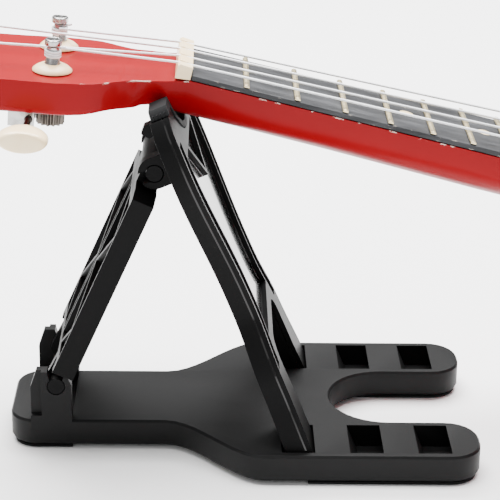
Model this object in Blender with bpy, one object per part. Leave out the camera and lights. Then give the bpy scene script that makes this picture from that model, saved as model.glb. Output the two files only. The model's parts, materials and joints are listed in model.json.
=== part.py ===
"""A small four-string guitar resting on a folding neck stand.

Lengths are metres and +Z is up. The stand is drawn from its rear pin, the
instrument from its nut, and ORIGIN_X puts the whole object over the origin.
Run it with: blender --background --python part.py
"""
import math

import bmesh
import bpy
from mathutils import Matrix, Vector

GAP = 0.0003                 # clearance kept between neighbouring pieces
ORIGIN_X = -0.193208

# Stand base
BASE_REAR = -0.0178
BASE_FRONT = 0.1546
BASE_TOP = 0.01175
BASE_UNDERSIDE = 0.0013
REAR_HALF_WIDTH = 0.0216
FRONT_HALF_WIDTH = 0.0487
WAIST_START = 0.040
WAIST_END = 0.076
REAR_CORNER = 0.010
ARM_CORNER = 0.0115
CUTOUT_CENTRE = 0.123
CUTOUT_RADIUS = 0.021
PAD_HEIGHT = 0.001
PAD_INSET = 0.0012
REAR_PAD_END = 0.0055
ARM_PAD_START = 0.092

# Sockets for the panel's feet, slanted like the panel
SOCKET_FRONT_EDGE = 0.0945
SOCKET_LENGTH = 0.0120
SOCKET_PITCH = 0.0245
SOCKET_ROWS = 3
SOCKET_INNER = 0.0240
SOCKET_OUTER = 0.0457
SOCKET_FLOOR = 0.0030

# Ears that hold the strut's pins
PIN_HEIGHT = 0.0255
PIN_RADIUS = 0.0031
EAR_INNER = 0.0164
EAR_BAND = 0.0196
EAR_TOP = 0.0313
EAR_REAR = -0.0096
EAR_FRONT = 0.0056

# Strut, measured along its axis from the rear pin
STRUT_ANGLE = math.radians(66.0)
STRUT_LENGTH = 0.0903
STRUT_HALF_WIDTH = 0.0270
STRUT_RAIL = 0.0048
STRUT_HALF_THICKNESS = 0.00405
STRUT_START = 0.0070
STRUT_BAR_START = 0.0102
STRUT_SHOULDER = 0.0810
STRUT_TOP = 0.0830
STRUT_RIM = 0.0016           # upright rim round the strut's pockets
STRUT_SPINE = 0.0026         # half the width of the grooved centre rib
ZIGZAG_RIM = (0.0255, 0.0645)    # where the zig-zag ribs meet the rim
ZIGZAG_SPINE = 0.0450        # where they meet the centre rib
TONGUE_INNER = 0.0120
TONGUE_OUTER = 0.0161
TONGUE_RADIUS = 0.0044
KNUCKLE_HALF_WIDTH = 0.0132
KNUCKLE_RADIUS = 0.0052
TOP_PIN_RADIUS = 0.0030

# Panel, measured down its axis from the upper hinge and out along its normal
PANEL_ANGLE = math.radians(67.0)
PANEL_OUTER = 0.01467
PANEL_INNER_TOP = 0.0077
PANEL_INNER_FOOT = 0.0053
PANEL_SHOULDER = -0.0210
PANEL_RAIL = 0.0034
RIB = 0.0014
RIB_OFFSET = 0.0095
BRACE_HALF_WIDTH = 0.0190    # V-shaped brace under the notch
BRACE_LENGTH = 0.0180
WEB_LOW = 0.0107
WEB_HIGH = 0.0126
ARCH_TOP = 0.0755
ARCH_HALF_WIDTH = 0.0234
FOOT_BOTTOM = 0.0039
FOOT_INNER = 0.0248
CLIP_INNER = 0.0142
CLIP_OUTER = 0.0196
CLIP_RADIUS = 0.0059
CLIP_BORE = 0.00335

# Rubber neck cradle on the panel's top
CRADLE_LOW = 0.0085
CRADLE_HIGH = 0.0152
CRADLE_HALF_WIDTH = 0.0318
CRADLE_TOP = 0.0244
CRADLE_SEAM = 0.0213
CRADLE_THICKNESS = 0.0024
TROUGH_HALF_WIDTH = 0.0196
TROUGH_CENTRE = 0.0288
TROUGH_DEPTH = 0.0195

# Instrument, measured from the nut along the strings
TILT = math.radians(13.9)
NUT_X = 0.050
NUT_Z = 0.1433
SCALE_LENGTH = 0.345
BODY_JOINT = 0.1725
TAIL = 0.405
BOARD_THICKNESS = 0.0018
BOARD_END = 0.176
BOARD_HALF_NUT = 0.0173
BOARD_HALF_END = 0.0210
NECK_TOP = -0.0021
NECK_DEPTH_NUT = 0.0161
NECK_DEPTH_BODY = 0.0184
HEEL_DEPTH = 0.0370
FRET_COUNT = 12
FRET_HALF_WIDTH = 0.0011
FRET_HEIGHT = 0.0010
NUT_START = -0.0056
NUT_HEIGHT = 0.0031
NUT_FOOT = -0.0024
STRING_RADIUS = 0.00045
STRING_AT_NUT = 0.00225
STRING_AT_SADDLE = 0.0090
STRING_SPREAD_NUT = (-0.0130, -0.0045, 0.0045, 0.0130)
STRING_SPREAD_SADDLE = (-0.0210, -0.0070, 0.0070, 0.0210)
PLATE_THICKNESS = 0.0020
SIDE_THICKNESS = 0.0018
SOUND_HOLE_AT = 0.252
SOUND_HOLE_RADIUS = 0.0250
BRIDGE_TOP = 0.0030
BRIDGE_HALF_LENGTH = 0.0430

# Headstock, measured back from the nut along its own face
HEAD_SLOPE = math.radians(3.9)
HEAD_X = 0.0433
HEAD_Z = 0.1412
HEAD_THICKNESS = 0.0124
TUNER_AT = (-0.042, -0.075)
TUNER_Y = 0.015
POST_HOLE = 0.0043
POST_RADIUS = 0.0026
POST_FOOT = 0.0017
POST_TOP = 0.0116
POST_WAIST = 0.0021
POST_COLLAR = 0.0030
POST_DISH = 0.0021
STRING_AT_POST = 0.0078
GEAR_TEETH = 14
GEAR_TIP = 0.0050
GEAR_ROOT = 0.0040
GEAR_TOP = 0.0141
GEAR_BOTTOM = 0.0187
WORM_BACK = 0.0072
PLATE_REAR = 0.0146
PLATE_FRONT = 0.0066
WORM_DROP = 0.0164
WORM_RADIUS = 0.0018
SHAFT_RADIUS = 0.0012
SHAFT_END = 0.0345
BUTTON_WIDTH = 0.0180
BUTTON_THICKNESS = 0.0080
BUTTON_LENGTH = 0.0120

COLOURS = {
    "black_plastic": ((0.030, 0.030, 0.032), 0.45, 0.0),
    "black_rubber": ((0.020, 0.020, 0.021), 0.75, 0.0),
    "red_lacquer": ((0.480, 0.006, 0.010), 0.12, 0.0),
    "bare_wood": ((0.450, 0.270, 0.130), 0.60, 0.0),
    "dark_board": ((0.130, 0.130, 0.140), 0.40, 0.0),
    "cream_plastic": ((0.830, 0.760, 0.580), 0.35, 0.0),
    "brass": ((0.620, 0.520, 0.320), 0.35, 1.0),
    "nickel": ((0.620, 0.610, 0.600), 0.25, 1.0),
    "nylon": ((0.900, 0.900, 0.920), 0.25, 0.0),
}


def frame(x, z, angle):
    """Axes in the XZ plane: X along the angle, Y across, Z out of the face."""
    shift = Matrix.Translation((x + ORIGIN_X, 0.0, z))
    return shift @ Matrix.Rotation(-angle, 4, "Y")


STAND = Matrix.Translation((ORIGIN_X, 0.0, 0.0))
STRUT = frame(0.0, PIN_HEIGHT, STRUT_ANGLE)
HINGE_X = STRUT_LENGTH * math.cos(STRUT_ANGLE)
HINGE_Z = PIN_HEIGHT + STRUT_LENGTH * math.sin(STRUT_ANGLE)
PANEL = frame(HINGE_X, HINGE_Z, -PANEL_ANGLE)
UKE = frame(NUT_X, NUT_Z, -TILT)
HEAD = frame(HEAD_X, HEAD_Z, -HEAD_SLOPE)
BODY_BACK = -(NUT_Z - TAIL * math.sin(TILT)) / math.cos(TILT)


def clear_scene():
    """Empty the scene that the script is run in."""
    for item in list(bpy.data.objects):
        bpy.data.objects.remove(item)


def make_material(name):
    """A Principled material from the colour table."""
    colour, roughness, metallic = COLOURS[name]
    material = bpy.data.materials.new(name)
    material.use_nodes = True
    shader = material.node_tree.nodes["Principled BSDF"]
    shader.inputs["Base Color"].default_value = (*colour, 1.0)
    shader.inputs["Roughness"].default_value = roughness
    shader.inputs["Metallic"].default_value = metallic
    material.diffuse_color = (*colour, 1.0)
    return material


def add_object(name, bm, where, material=None):
    """Turn a bmesh in the frame's axes into an object whose origin is the frame's."""
    bmesh.ops.recalc_face_normals(bm, faces=bm.faces)
    mesh = bpy.data.meshes.new(name)
    bm.to_mesh(mesh)
    bm.free()
    mesh.shade_smooth()
    mesh.set_sharp_from_angle(angle=math.radians(35))
    item = bpy.data.objects.new(name, mesh)
    item.matrix_world = where
    bpy.context.scene.collection.objects.link(item)
    if material:
        mesh.materials.append(make_material(material))
    return item


def loft(name, rings, where, material=None, closed=False):
    """Skin rings of equal length, with flat caps unless the loft closes on itself."""
    bm = bmesh.new()
    loops = [[bm.verts.new(point) for point in ring] for ring in rings]
    count = len(loops[0])
    pairs = list(zip(loops, loops[1:]))
    if closed:
        pairs.append((loops[-1], loops[0]))
    for one, two in pairs:
        for i in range(count):
            j = (i + 1) % count
            bm.faces.new((one[i], one[j], two[j], two[i]))
    if not closed:
        bm.faces.new(loops[0])
        bm.faces.new(loops[-1])
    return add_object(name, bm, where, material)


def slab(name, outline, low, high, where, material=None):
    """Extrude a plan outline through the frame's Z."""
    rings = [[(x, y, z) for x, y in outline] for z in (low, high)]
    return loft(name, rings, where, material)


def side_plate(name, outline, near, far, where, material=None):
    """Extrude a side-view outline, given as (x, z), through the frame's Y."""
    rings = [[(x, y, z) for x, z in outline] for y in (near, far)]
    return loft(name, rings, where, material)


def box(name, x_range, y_range, z_range, where, material=None):
    """A block between two limits on each axis."""
    (x0, x1), (y0, y1) = x_range, y_range
    outline = [(x0, y0), (x1, y0), (x1, y1), (x0, y1)]
    return slab(name, outline, *z_range, where, material)


def turned(name, profile, where, material=None, steps=20):
    """Turn (radius, height) points about the frame's Z; a ring if it never meets it."""
    bm = bmesh.new()
    verts = [bm.verts.new((radius, 0.0, height)) for radius, height in profile]
    edges = [bm.edges.new(pair) for pair in zip(verts, verts[1:])]
    if profile[0][0] > 0:
        edges.append(bm.edges.new((verts[-1], verts[0])))
    bmesh.ops.spin(bm, geom=verts + edges, axis=(0, 0, 1), cent=(0, 0, 0),
                   angle=math.tau, steps=steps, use_merge=True)
    bmesh.ops.remove_doubles(bm, verts=bm.verts, dist=1e-6)
    return add_object(name, bm, where, material)


def boolean(target, tool, operation):
    """Join or cut with a tool that the build leaves out."""
    tool.hide_render = True
    tool.display_type = "WIRE"
    modifier = target.modifiers.new(tool.name, "BOOLEAN")
    modifier.operation = operation
    modifier.object = tool


def cut(target, tool):
    """Take the tool's shape out of the target."""
    boolean(target, tool, "DIFFERENCE")


def join(target, tool):
    """Fuse the tool's shape into the target."""
    boolean(target, tool, "UNION")


def arc(x, y, radius, start, end, steps):
    """Points on an arc, angles in degrees, both ends included."""
    angles = [math.radians(start + (end - start) * i / steps) for i in range(steps + 1)]
    return [(x + radius * math.cos(a), y + radius * math.sin(a)) for a in angles]


def ease(value):
    """A smooth step from 0 to 1."""
    value = min(max(value, 0.0), 1.0)
    return value * value * (3.0 - 2.0 * value)


def between(stations, at):
    """Read a smooth value off a list of (position, value) stations."""
    for (x0, v0), (x1, v1) in zip(stations, stations[1:]):
        if at <= x1:
            return v0 + (v1 - v0) * ease((at - x0) / (x1 - x0))
    return stations[-1][1]


def mirrored(half):
    """Close an outline that starts and ends on the centre line by mirroring it."""
    return half + [(x, -y) for x, y in reversed(half[1:-1])]


def inset(outline, distance):
    """Move each point of a closed outline inwards."""
    area = sum(a[0] * b[1] - b[0] * a[1] for a, b in zip(outline, outline[1:] + outline[:1]))
    side = 1.0 if area > 0 else -1.0
    result = []
    for i, point in enumerate(outline):
        along = Vector(outline[(i + 1) % len(outline)]) - Vector(outline[i - 1])
        along.normalize()
        result.append((point[0] - side * along.y * distance, point[1] + side * along.x * distance))
    return result


def smooth_closed(points, steps):
    """A closed Catmull-Rom curve through the points."""
    count = len(points)
    result = []
    for i in range(count):
        p0, p1, p2, p3 = (Vector(points[(i + k - 1) % count]) for k in range(4))
        for k in range(steps):
            t = k / steps
            point = 0.5 * (2 * p1 + (p2 - p0) * t + (2 * p0 - 5 * p1 + 4 * p2 - p3) * t ** 2
                           + (3 * p1 - p0 - 3 * p2 + p3) * t ** 3)
            result.append((point.x, point.y))
    return result


# --- Stand base -----------------------------------------------------------

def base_outline():
    """Plan of the base: narrow rear, wide front with two rounded arms."""
    rear_y = REAR_HALF_WIDTH - REAR_CORNER
    half = [(BASE_REAR, 0.0)]
    half += arc(BASE_REAR + REAR_CORNER, rear_y, REAR_CORNER, 180, 90, 6)
    for i in range(11):
        t = i / 10
        half.append((WAIST_START + (WAIST_END - WAIST_START) * t,
                     REAR_HALF_WIDTH + (FRONT_HALF_WIDTH - REAR_HALF_WIDTH) * ease(t)))
    arm_x = BASE_FRONT - ARM_CORNER
    half += arc(arm_x, FRONT_HALF_WIDTH - ARM_CORNER, ARM_CORNER, 90, 0, 6)
    half += arc(arm_x, CUTOUT_RADIUS + ARM_CORNER, ARM_CORNER, 0, -90, 6)
    half += arc(CUTOUT_CENTRE, 0.0, CUTOUT_RADIUS, 90, 180, 10)
    half[-1] = (CUTOUT_CENTRE - CUTOUT_RADIUS, 0.0)
    return mirrored(half)


def ear_outline():
    """Side view of one ear."""
    root = BASE_TOP - 0.004
    return [(EAR_REAR, root), (EAR_FRONT, root), (EAR_FRONT, 0.0262), (0.0040, 0.0300),
            (0.0030, EAR_TOP), (-0.0073, EAR_TOP), (EAR_REAR, 0.0245)]


def keyhole_outline():
    """Open-topped slot that the strut's stub pin snaps into."""
    radius = PIN_RADIUS + GAP
    neck = 0.0024
    start = math.degrees(math.acos(neck / radius))
    circle = arc(0.0, PIN_HEIGHT, radius, start, start - 360 + 2 * (90 - start), 18)
    return circle + [(-0.0030, 0.0300), (-0.0034, EAR_TOP + 0.002),
                     (0.0034, EAR_TOP + 0.002), (0.0030, 0.0300)]


def add_ears(base):
    """Raise the two ears, with their recessed rear band and keyhole."""
    for side in (-1, 1):
        name = "near" if side < 0 else "far"
        ear = side_plate(f"tool_ear_{name}", ear_outline(), side * EAR_INNER,
                         side * REAR_HALF_WIDTH, STAND)
        join(base, ear)
        band = box(f"tool_ear_band_{name}", (EAR_REAR - 0.001, -0.0055),
                   (side * EAR_BAND, side * (REAR_HALF_WIDTH + 0.001)),
                   (0.0136, EAR_TOP + 0.001), STAND)
        cut(base, band)
        slot = side_plate(f"tool_keyhole_{name}", keyhole_outline(), side * (EAR_INNER - 0.001),
                          side * (REAR_HALF_WIDTH + 0.001), STAND)
        cut(base, slot)


def cut_sockets(base):
    """Three rows of slanted sockets; the panel stands in the first."""
    lean = 1.0 / math.tan(PANEL_ANGLE)
    top = BASE_TOP + 0.002
    for row in range(SOCKET_ROWS):
        front = SOCKET_FRONT_EDGE + row * SOCKET_PITCH
        rear = front - SOCKET_LENGTH
        rise = (BASE_TOP - top) * lean
        drop = (BASE_TOP - SOCKET_FLOOR) * lean
        outline = [(rear + rise, top), (front + rise, top),
                   (front + drop, SOCKET_FLOOR), (rear + drop, SOCKET_FLOOR)]
        for side in (-1, 1):
            name = f"tool_socket_{row + 1}_{'near' if side < 0 else 'far'}"
            cut(base, side_plate(name, outline, side * SOCKET_INNER, side * SOCKET_OUTER, STAND))


def build_base():
    """The moulded base plate with its ears, recess and sockets."""
    outline = base_outline()
    layers = [(BASE_UNDERSIDE, 0.0014), (BASE_UNDERSIDE + 0.0006, 0.0005),
              (BASE_UNDERSIDE + 0.0016, 0.0), (BASE_TOP - 0.0008, 0.0), (BASE_TOP, 0.0007)]
    rings = [[(x, y, z) for x, y in inset(outline, depth)] for z, depth in layers]
    base = loft("stand_base", rings, STAND, "black_plastic")
    add_ears(base)
    recess = [(-0.0088, BASE_TOP + 0.001), (-0.0088, BASE_TOP - 0.003), (0.0030, BASE_TOP - 0.003),
              (0.0050, BASE_TOP - 0.0018), (0.0058, BASE_TOP + 0.001)]
    cut(base, side_plate("tool_recess", recess, -EAR_INNER, EAR_INNER, STAND))
    cut_sockets(base)


def build_foot_pads():
    """Rubber pads under the rear end and under both arms."""
    rim = inset(base_outline(), PAD_INSET)
    rear = [p for p in rim if p[0] < REAR_PAD_END - 0.012]
    rear = sorted(rear, key=lambda p: math.atan2(p[1], REAR_PAD_END - 0.012 - p[0]))
    edge = REAR_HALF_WIDTH - PAD_INSET
    rear = [(REAR_PAD_END, -edge)] + rear + [(REAR_PAD_END, edge)]
    slab("base_pad_rear", rear, 0.0, PAD_HEIGHT, STAND, "black_rubber")
    inner, outer = CUTOUT_RADIUS + PAD_INSET, FRONT_HALF_WIDTH - PAD_INSET
    radius = ARM_CORNER - PAD_INSET
    tip = BASE_FRONT - ARM_CORNER
    for side, name in ((-1, "near"), (1, "far")):
        arm = [(ARM_PAD_START, inner + 0.004), (ARM_PAD_START, outer)]
        arm += arc(tip, outer - radius, radius, 90, 0, 6)
        arm += arc(tip, inner + radius, radius, 0, -90, 6)
        arm += [(CUTOUT_CENTRE, inner), (CUTOUT_CENTRE - 0.012, inner + 0.0005)]
        arm = [(x, side * y) for x, y in arm]
        slab(f"base_pad_{name}_arm", arm, 0.0, PAD_HEIGHT, STAND, "black_rubber")


# --- Strut ----------------------------------------------------------------

def strut_plan():
    """Plan of the strut's frame above its tongues."""
    inner = STRUT_HALF_WIDTH - STRUT_RAIL
    half = [(STRUT_BAR_START, 0.0), (STRUT_BAR_START, inner), (STRUT_START, inner),
            (STRUT_START, STRUT_HALF_WIDTH - 0.0006), (STRUT_START + 0.0006, STRUT_HALF_WIDTH),
            (STRUT_SHOULDER, STRUT_HALF_WIDTH), (STRUT_TOP, CLIP_OUTER + 0.0008),
            (STRUT_TOP, KNUCKLE_HALF_WIDTH), (STRUT_LENGTH - 0.0011, KNUCKLE_HALF_WIDTH),
            (STRUT_LENGTH - 0.0011, 0.0)]
    return mirrored(half)


def strut_pockets():
    """Pockets between the rim, the centre rib and the zig-zag ribs of one side."""
    low, high = STRUT_BAR_START + 0.0030, STRUT_SHOULDER - 0.0035
    inner, outer = STRUT_SPINE, STRUT_HALF_WIDTH - STRUT_RIM
    first, last = ZIGZAG_RIM
    slope = (outer - inner) / (ZIGZAG_SPINE - first)
    rise = RIB / 2 * math.sqrt(1 + slope * slope)
    run = rise / slope
    end = outer - (first - low) * slope
    return [[(first + run, outer), (last - run, outer), (ZIGZAG_SPINE, inner + rise)],
            [(low, end + rise), (first - run, outer), (low, outer)],
            [(high, end + rise), (high, outer), (last + run, outer)],
            [(low, inner), (ZIGZAG_SPINE - run, inner), (first, outer - rise), (low, end - rise)],
            [(ZIGZAG_SPINE + run, inner), (high, inner), (high, end - rise), (last, outer - rise)]]


def build_strut():
    """Rear leg: a ribbed channel with stub pins at both ends."""
    half = STRUT_HALF_THICKNESS
    strut = slab("strut_frame", strut_plan(), -half, half, STRUT, "black_plastic")
    end = KNUCKLE_HALF_WIDTH + 0.0002
    knuckle = [(0.0, -CLIP_OUTER), (TOP_PIN_RADIUS, -CLIP_OUTER), (TOP_PIN_RADIUS, -end),
               (KNUCKLE_RADIUS, -end), (KNUCKLE_RADIUS, end), (TOP_PIN_RADIUS, end),
               (TOP_PIN_RADIUS, CLIP_OUTER), (0.0, CLIP_OUTER)]
    across = STRUT @ Matrix.Translation((STRUT_LENGTH, 0, 0)) @ Matrix.Rotation(math.pi / 2, 4, "X")
    join(strut, turned("tool_knuckle", knuckle, across, steps=24))
    for side, name in ((-1, "near"), (1, "far")):
        tongue = arc(0.0, 0.0, TONGUE_RADIUS, 90, 270, 10)
        tongue += [(STRUT_BAR_START + 0.002, -0.0036), (STRUT_BAR_START + 0.002, 0.0036)]
        join(strut, side_plate(f"tool_tongue_{name}", tongue, side * TONGUE_INNER,
                               side * TONGUE_OUTER, STRUT))
        stub = [(0.0, side * (TONGUE_INNER + 0.001)), (PIN_RADIUS, side * (TONGUE_INNER + 0.001)),
                (PIN_RADIUS, side * (REAR_HALF_WIDTH - 0.0001)), (0.0, side * (REAR_HALF_WIDTH - 0.0001))]
        turn = STRUT @ Matrix.Rotation(-math.pi / 2, 4, "X")
        join(strut, turned(f"tool_stub_{name}", stub, turn, steps=24))
        for i, pocket in enumerate(strut_pockets()):
            points = [(x, side * y) for x, y in pocket]
            cut(strut, slab(f"tool_pocket_{name}_{i}", points, -half + 0.0030, half + 0.001, STRUT))
    underside = box("tool_strut_underside", (STRUT_BAR_START + 0.002, STRUT_SHOULDER - 0.002),
                    (-STRUT_HALF_WIDTH + STRUT_RIM, STRUT_HALF_WIDTH - STRUT_RIM),
                    (-half - 0.001, -half + 0.0014), STRUT)
    cut(strut, underside)
    groove = box("tool_centre_groove", (STRUT_BAR_START + 0.003, STRUT_SHOULDER - 0.0035),
                 (-0.0014, 0.0014), (-half + 0.0030, half + 0.001), STRUT)
    cut(strut, groove)


# --- Panel and cradle -----------------------------------------------------

PANEL_HALF_WIDTHS = ((PANEL_SHOULDER, 0.0325), (-0.0140, 0.0380), (0.0020, 0.0400),
                     (0.0500, 0.0297), (0.0580, 0.0297), (0.0840, 0.0390), (0.1160, 0.0453))


def panel_half_width(down):
    """Half the panel's width at a distance below the hinge."""
    return between(PANEL_HALF_WIDTHS, down)


def panel_strip(start, end, outer_offset, inner_offset, steps=16):
    """A band that follows the near or far rim of the panel."""
    stations = [start + (end - start) * i / steps for i in range(steps + 1)]
    outer = [(d, panel_half_width(d) - outer_offset) for d in stations]
    inner = [(d, panel_half_width(d) - inner_offset) for d in reversed(stations)]
    return outer + inner


def trough(grow):
    """The neck's resting curve, from the near horn to the far one."""
    half_width, depth = TROUGH_HALF_WIDTH + grow, TROUGH_DEPTH + grow
    stop = CRADLE_TOP if grow == 0 else CRADLE_SEAM - GAP
    reach = half_width * math.sqrt(1 - ((TROUGH_CENTRE - stop) / depth) ** 2)
    points = []
    for i in range(17):
        y = -reach + 2 * reach * i / 16
        points.append((-(TROUGH_CENTRE - depth * math.sqrt(1 - (y / half_width) ** 2)), y))
    return points


def panel_plan():
    """Plan of the panel: waisted sides, a notch for the neck and two feet."""
    foot = 0.1160
    stations = [PANEL_SHOULDER + (foot - PANEL_SHOULDER) * i / 26 for i in range(27)]
    near = [(d, -panel_half_width(d)) for d in stations]
    far = [(d, panel_half_width(d)) for d in reversed(stations)]
    arch = [(foot, FOOT_INNER), (0.1055, FOOT_INNER - 0.0004), (0.1030, ARCH_HALF_WIDTH)]
    arch += arc(ARCH_TOP + 0.008, ARCH_HALF_WIDTH - 0.008, 0.008, 90, 180, 6)
    notch = trough(CRADLE_THICKNESS + GAP)
    return near + [(d, -y) for d, y in arch] + [(d, y) for d, y in reversed(arch)] + far + notch[::-1]


def build_panel():
    """Front leg: a waisted, ribbed panel with two feet and two hinge clips."""
    plan = panel_plan()
    rings = []
    for face in ("inner", "outer"):
        ring = []
        for down, y in plan:
            t = (down - PANEL_SHOULDER) / (0.1160 - PANEL_SHOULDER)
            inner = PANEL_INNER_TOP + (PANEL_INNER_FOOT - PANEL_INNER_TOP) * t
            ring.append((down, y, inner if face == "inner" else PANEL_OUTER))
        rings.append(ring)
    panel = loft("panel_frame", rings, PANEL, "black_plastic")
    cut_panel_pockets(panel)
    add_panel_clips(panel)
    floor = box("tool_panel_floor", (0.05, 0.12), (-0.06, 0.06), (-0.02, FOOT_BOTTOM), STAND)
    cut(panel, floor)


def cut_panel_pockets(panel):
    """Hollow both faces, leaving the web, the double rims and the brace under the notch."""
    outer = (WEB_HIGH, PANEL_OUTER + 0.001)
    for side, name in ((-1, "near"), (1, "far")):
        strip = panel_strip(-0.0105, 0.0800, PANEL_RAIL - 0.0012, RIB_OFFSET - RIB)
        strip = [(d, side * y) for d, y in strip]
        cut(panel, slab(f"tool_rim_pocket_{name}", strip, *outer, PANEL))
    low, high = -0.0040, 0.0705
    stations = [low + (high - low) * i / 16 for i in range(17)]
    near = [(d, -(panel_half_width(d) - RIB_OFFSET)) for d in stations]
    centre = near + [(d, -y) for d, y in reversed(near)]
    centre += [(low, BRACE_HALF_WIDTH), (low + BRACE_LENGTH, 0.0), (low, -BRACE_HALF_WIDTH)]
    cut(panel, slab("tool_centre_pocket", centre, *outer, PANEL))
    inside = BRACE_HALF_WIDTH - 2 * RIB
    brace = [(low, -inside), (low, inside), (low + BRACE_LENGTH * inside / BRACE_HALF_WIDTH, 0.0)]
    cut(panel, slab("tool_brace_pocket", brace, *outer, PANEL))
    inner_low, inner_high = -0.0030, 0.0710
    stations = [inner_low + (inner_high - inner_low) * i / 14 for i in range(15)]
    near = [(d, -(panel_half_width(d) - PANEL_RAIL)) for d in stations]
    back = near + [(d, -y) for d, y in reversed(near)]
    cut(panel, slab("tool_back_pocket", back, 0.0, WEB_LOW, PANEL))


def add_panel_clips(panel):
    """C-shaped clips for the strut's top pin, and two small hooks above them."""
    mouth = 0.0022
    start = math.degrees(math.asin(mouth / CLIP_BORE))
    wide = math.degrees(math.asin(mouth / CLIP_RADIUS))
    for side, name in ((-1, "near"), (1, "far")):
        clip = arc(0.0, 0.0, CLIP_RADIUS, 270 + wide, 360, 6) + [(CLIP_RADIUS, WEB_LOW + 0.0004)]
        clip += [(-CLIP_RADIUS, WEB_LOW + 0.0004)] + arc(0.0, 0.0, CLIP_RADIUS, 180, 270 - wide, 6)
        clip += arc(0.0, 0.0, CLIP_BORE, 270 - start, -90 + start, 20)
        join(panel, side_plate(f"tool_clip_{name}", clip, side * CLIP_INNER, side * CLIP_OUTER, PANEL))
        hook = [(-0.0195, 0.0090), (-0.0195, 0.0048), (-0.0172, 0.0026), (-0.0145, 0.0046),
                (-0.0152, 0.0090)]
        join(panel, side_plate(f"tool_hook_{name}", hook, side * 0.0222, side * 0.0262, PANEL))


def build_cradle():
    """Rubber pad that lines the notch and stands up as two horns."""
    top = trough(0.0)
    below = trough(CRADLE_THICKNESS)
    horn = [(-CRADLE_TOP, 0.0290), (-CRADLE_TOP + 0.0012, CRADLE_HALF_WIDTH - 0.0009),
            (-CRADLE_TOP + 0.0030, CRADLE_HALF_WIDTH), (-CRADLE_SEAM, CRADLE_HALF_WIDTH)]
    outline = [(d, y) for d, y in top] + horn + below[::-1]
    outline += [(d, -y) for d, y in reversed(horn)]
    slab("neck_cradle_pad", outline, CRADLE_LOW, CRADLE_HIGH, PANEL, "black_rubber")


# --- Instrument: neck and fretboard ---------------------------------------

def board_half_width(along):
    """Half the fretboard's width at a distance from the nut."""
    return BOARD_HALF_NUT + (BOARD_HALF_END - BOARD_HALF_NUT) * along / BOARD_END


def neck_section(half_width, depth, square):
    """Flat top and a rounded or squared underside, as (y, z) points."""
    points = []
    steps = 18
    for i in range(steps + 1):
        angle = math.pi * i / steps
        cosine, sine = math.cos(angle), math.sin(angle)
        y = half_width * math.copysign(abs(cosine) ** (2 / square), cosine)
        points.append((y, -depth * abs(sine) ** (2 / square)))
    return points


HEAD_HALF_WIDTHS = ((-0.0990, 0.0150), (-0.0975, 0.0205), (-0.0940, 0.0250), (-0.0860, 0.0285),
                    (-0.0560, 0.0282), (-0.0400, 0.0290), (-0.0310, 0.0280), (-0.0120, 0.0194),
                    (0.0, 0.0176))
HEAD_DEPTHS = ((-0.0990, 0.0110), (-0.0960, HEAD_THICKNESS), (-0.0350, HEAD_THICKNESS),
               (-0.0200, 0.0108), (-0.0110, 0.0108), (0.0, 0.0137))
HEAD_SQUARENESS = ((-0.0990, 14.0), (-0.0160, 14.0), (-0.0090, 3.6), (-0.0030, 2.6))


def build_neck():
    """Headstock, neck and heel as one carved piece."""
    rings = []
    head_to_uke = UKE.inverted() @ HEAD
    stations = [-0.0990, -0.0975, -0.0960, -0.0940, -0.0900, -0.0860, -0.0700, -0.0560, -0.0480,
                -0.0400, -0.0350, -0.0310, -0.0270, -0.0230, -0.0200, -0.0160, -0.0130, -0.0105, -0.0080,
                -0.0055, -0.0030]
    for at in stations:
        section = neck_section(between(HEAD_HALF_WIDTHS, at), between(HEAD_DEPTHS, at),
                               between(HEAD_SQUARENESS, at))
        rings.append([head_to_uke @ Vector((at, y, z)) for y, z in section])
    depths = ((0.0, NECK_DEPTH_NUT), (0.140, NECK_DEPTH_BODY), (0.158, 0.0200), (0.166, 0.0290),
              (BODY_JOINT - GAP, HEEL_DEPTH))
    for at in (0.0, 0.008, 0.020, 0.050, 0.080, 0.110, 0.140, 0.149, 0.158, 0.162, 0.166, 0.169,
               BODY_JOINT - GAP):
        square = 2.3 - 0.2 * ease(at / 0.05)
        section = neck_section(board_half_width(at), between(depths, at), square)
        rings.append([Vector((at, y, NECK_TOP + z)) for y, z in section])
    neck = loft("neck", rings, UKE, "red_lacquer")
    for i, at in enumerate(TUNER_AT):
        for side, name in ((-1, "near"), (1, "far")):
            hole = [(0.0, -0.02), (POST_HOLE, -0.02), (POST_HOLE, 0.01), (0.0, 0.01)]
            where = HEAD @ Matrix.Translation((at, side * TUNER_Y, 0.0))
            cut(neck, turned(f"tool_post_hole_{name}_{i}", hole, where))


def build_fretboard():
    """Tapered fingerboard and its twelve frets."""
    ends = ((0.0, board_half_width(0.0)), (BOARD_END, board_half_width(BOARD_END)))
    plan = [(ends[0][0], -ends[0][1]), (ends[1][0], -ends[1][1]), ends[1], ends[0]]
    slab("fretboard", plan, -BOARD_THICKNESS, 0.0, UKE, "dark_board")
    for number in range(1, FRET_COUNT + 1):
        at = SCALE_LENGTH * (1 - 2 ** (-number / 12))
        crown = [(at + dx, GAP + dz) for dx, dz in arc(0.0, 0.0, FRET_HALF_WIDTH, 0, 180, 6)]
        crown = [(x, min(z, GAP + FRET_HEIGHT)) for x, z in crown]
        reach = board_half_width(at) - 0.0002
        side_plate(f"fret_{number:02d}", crown, -reach, reach, UKE, "brass")


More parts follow.
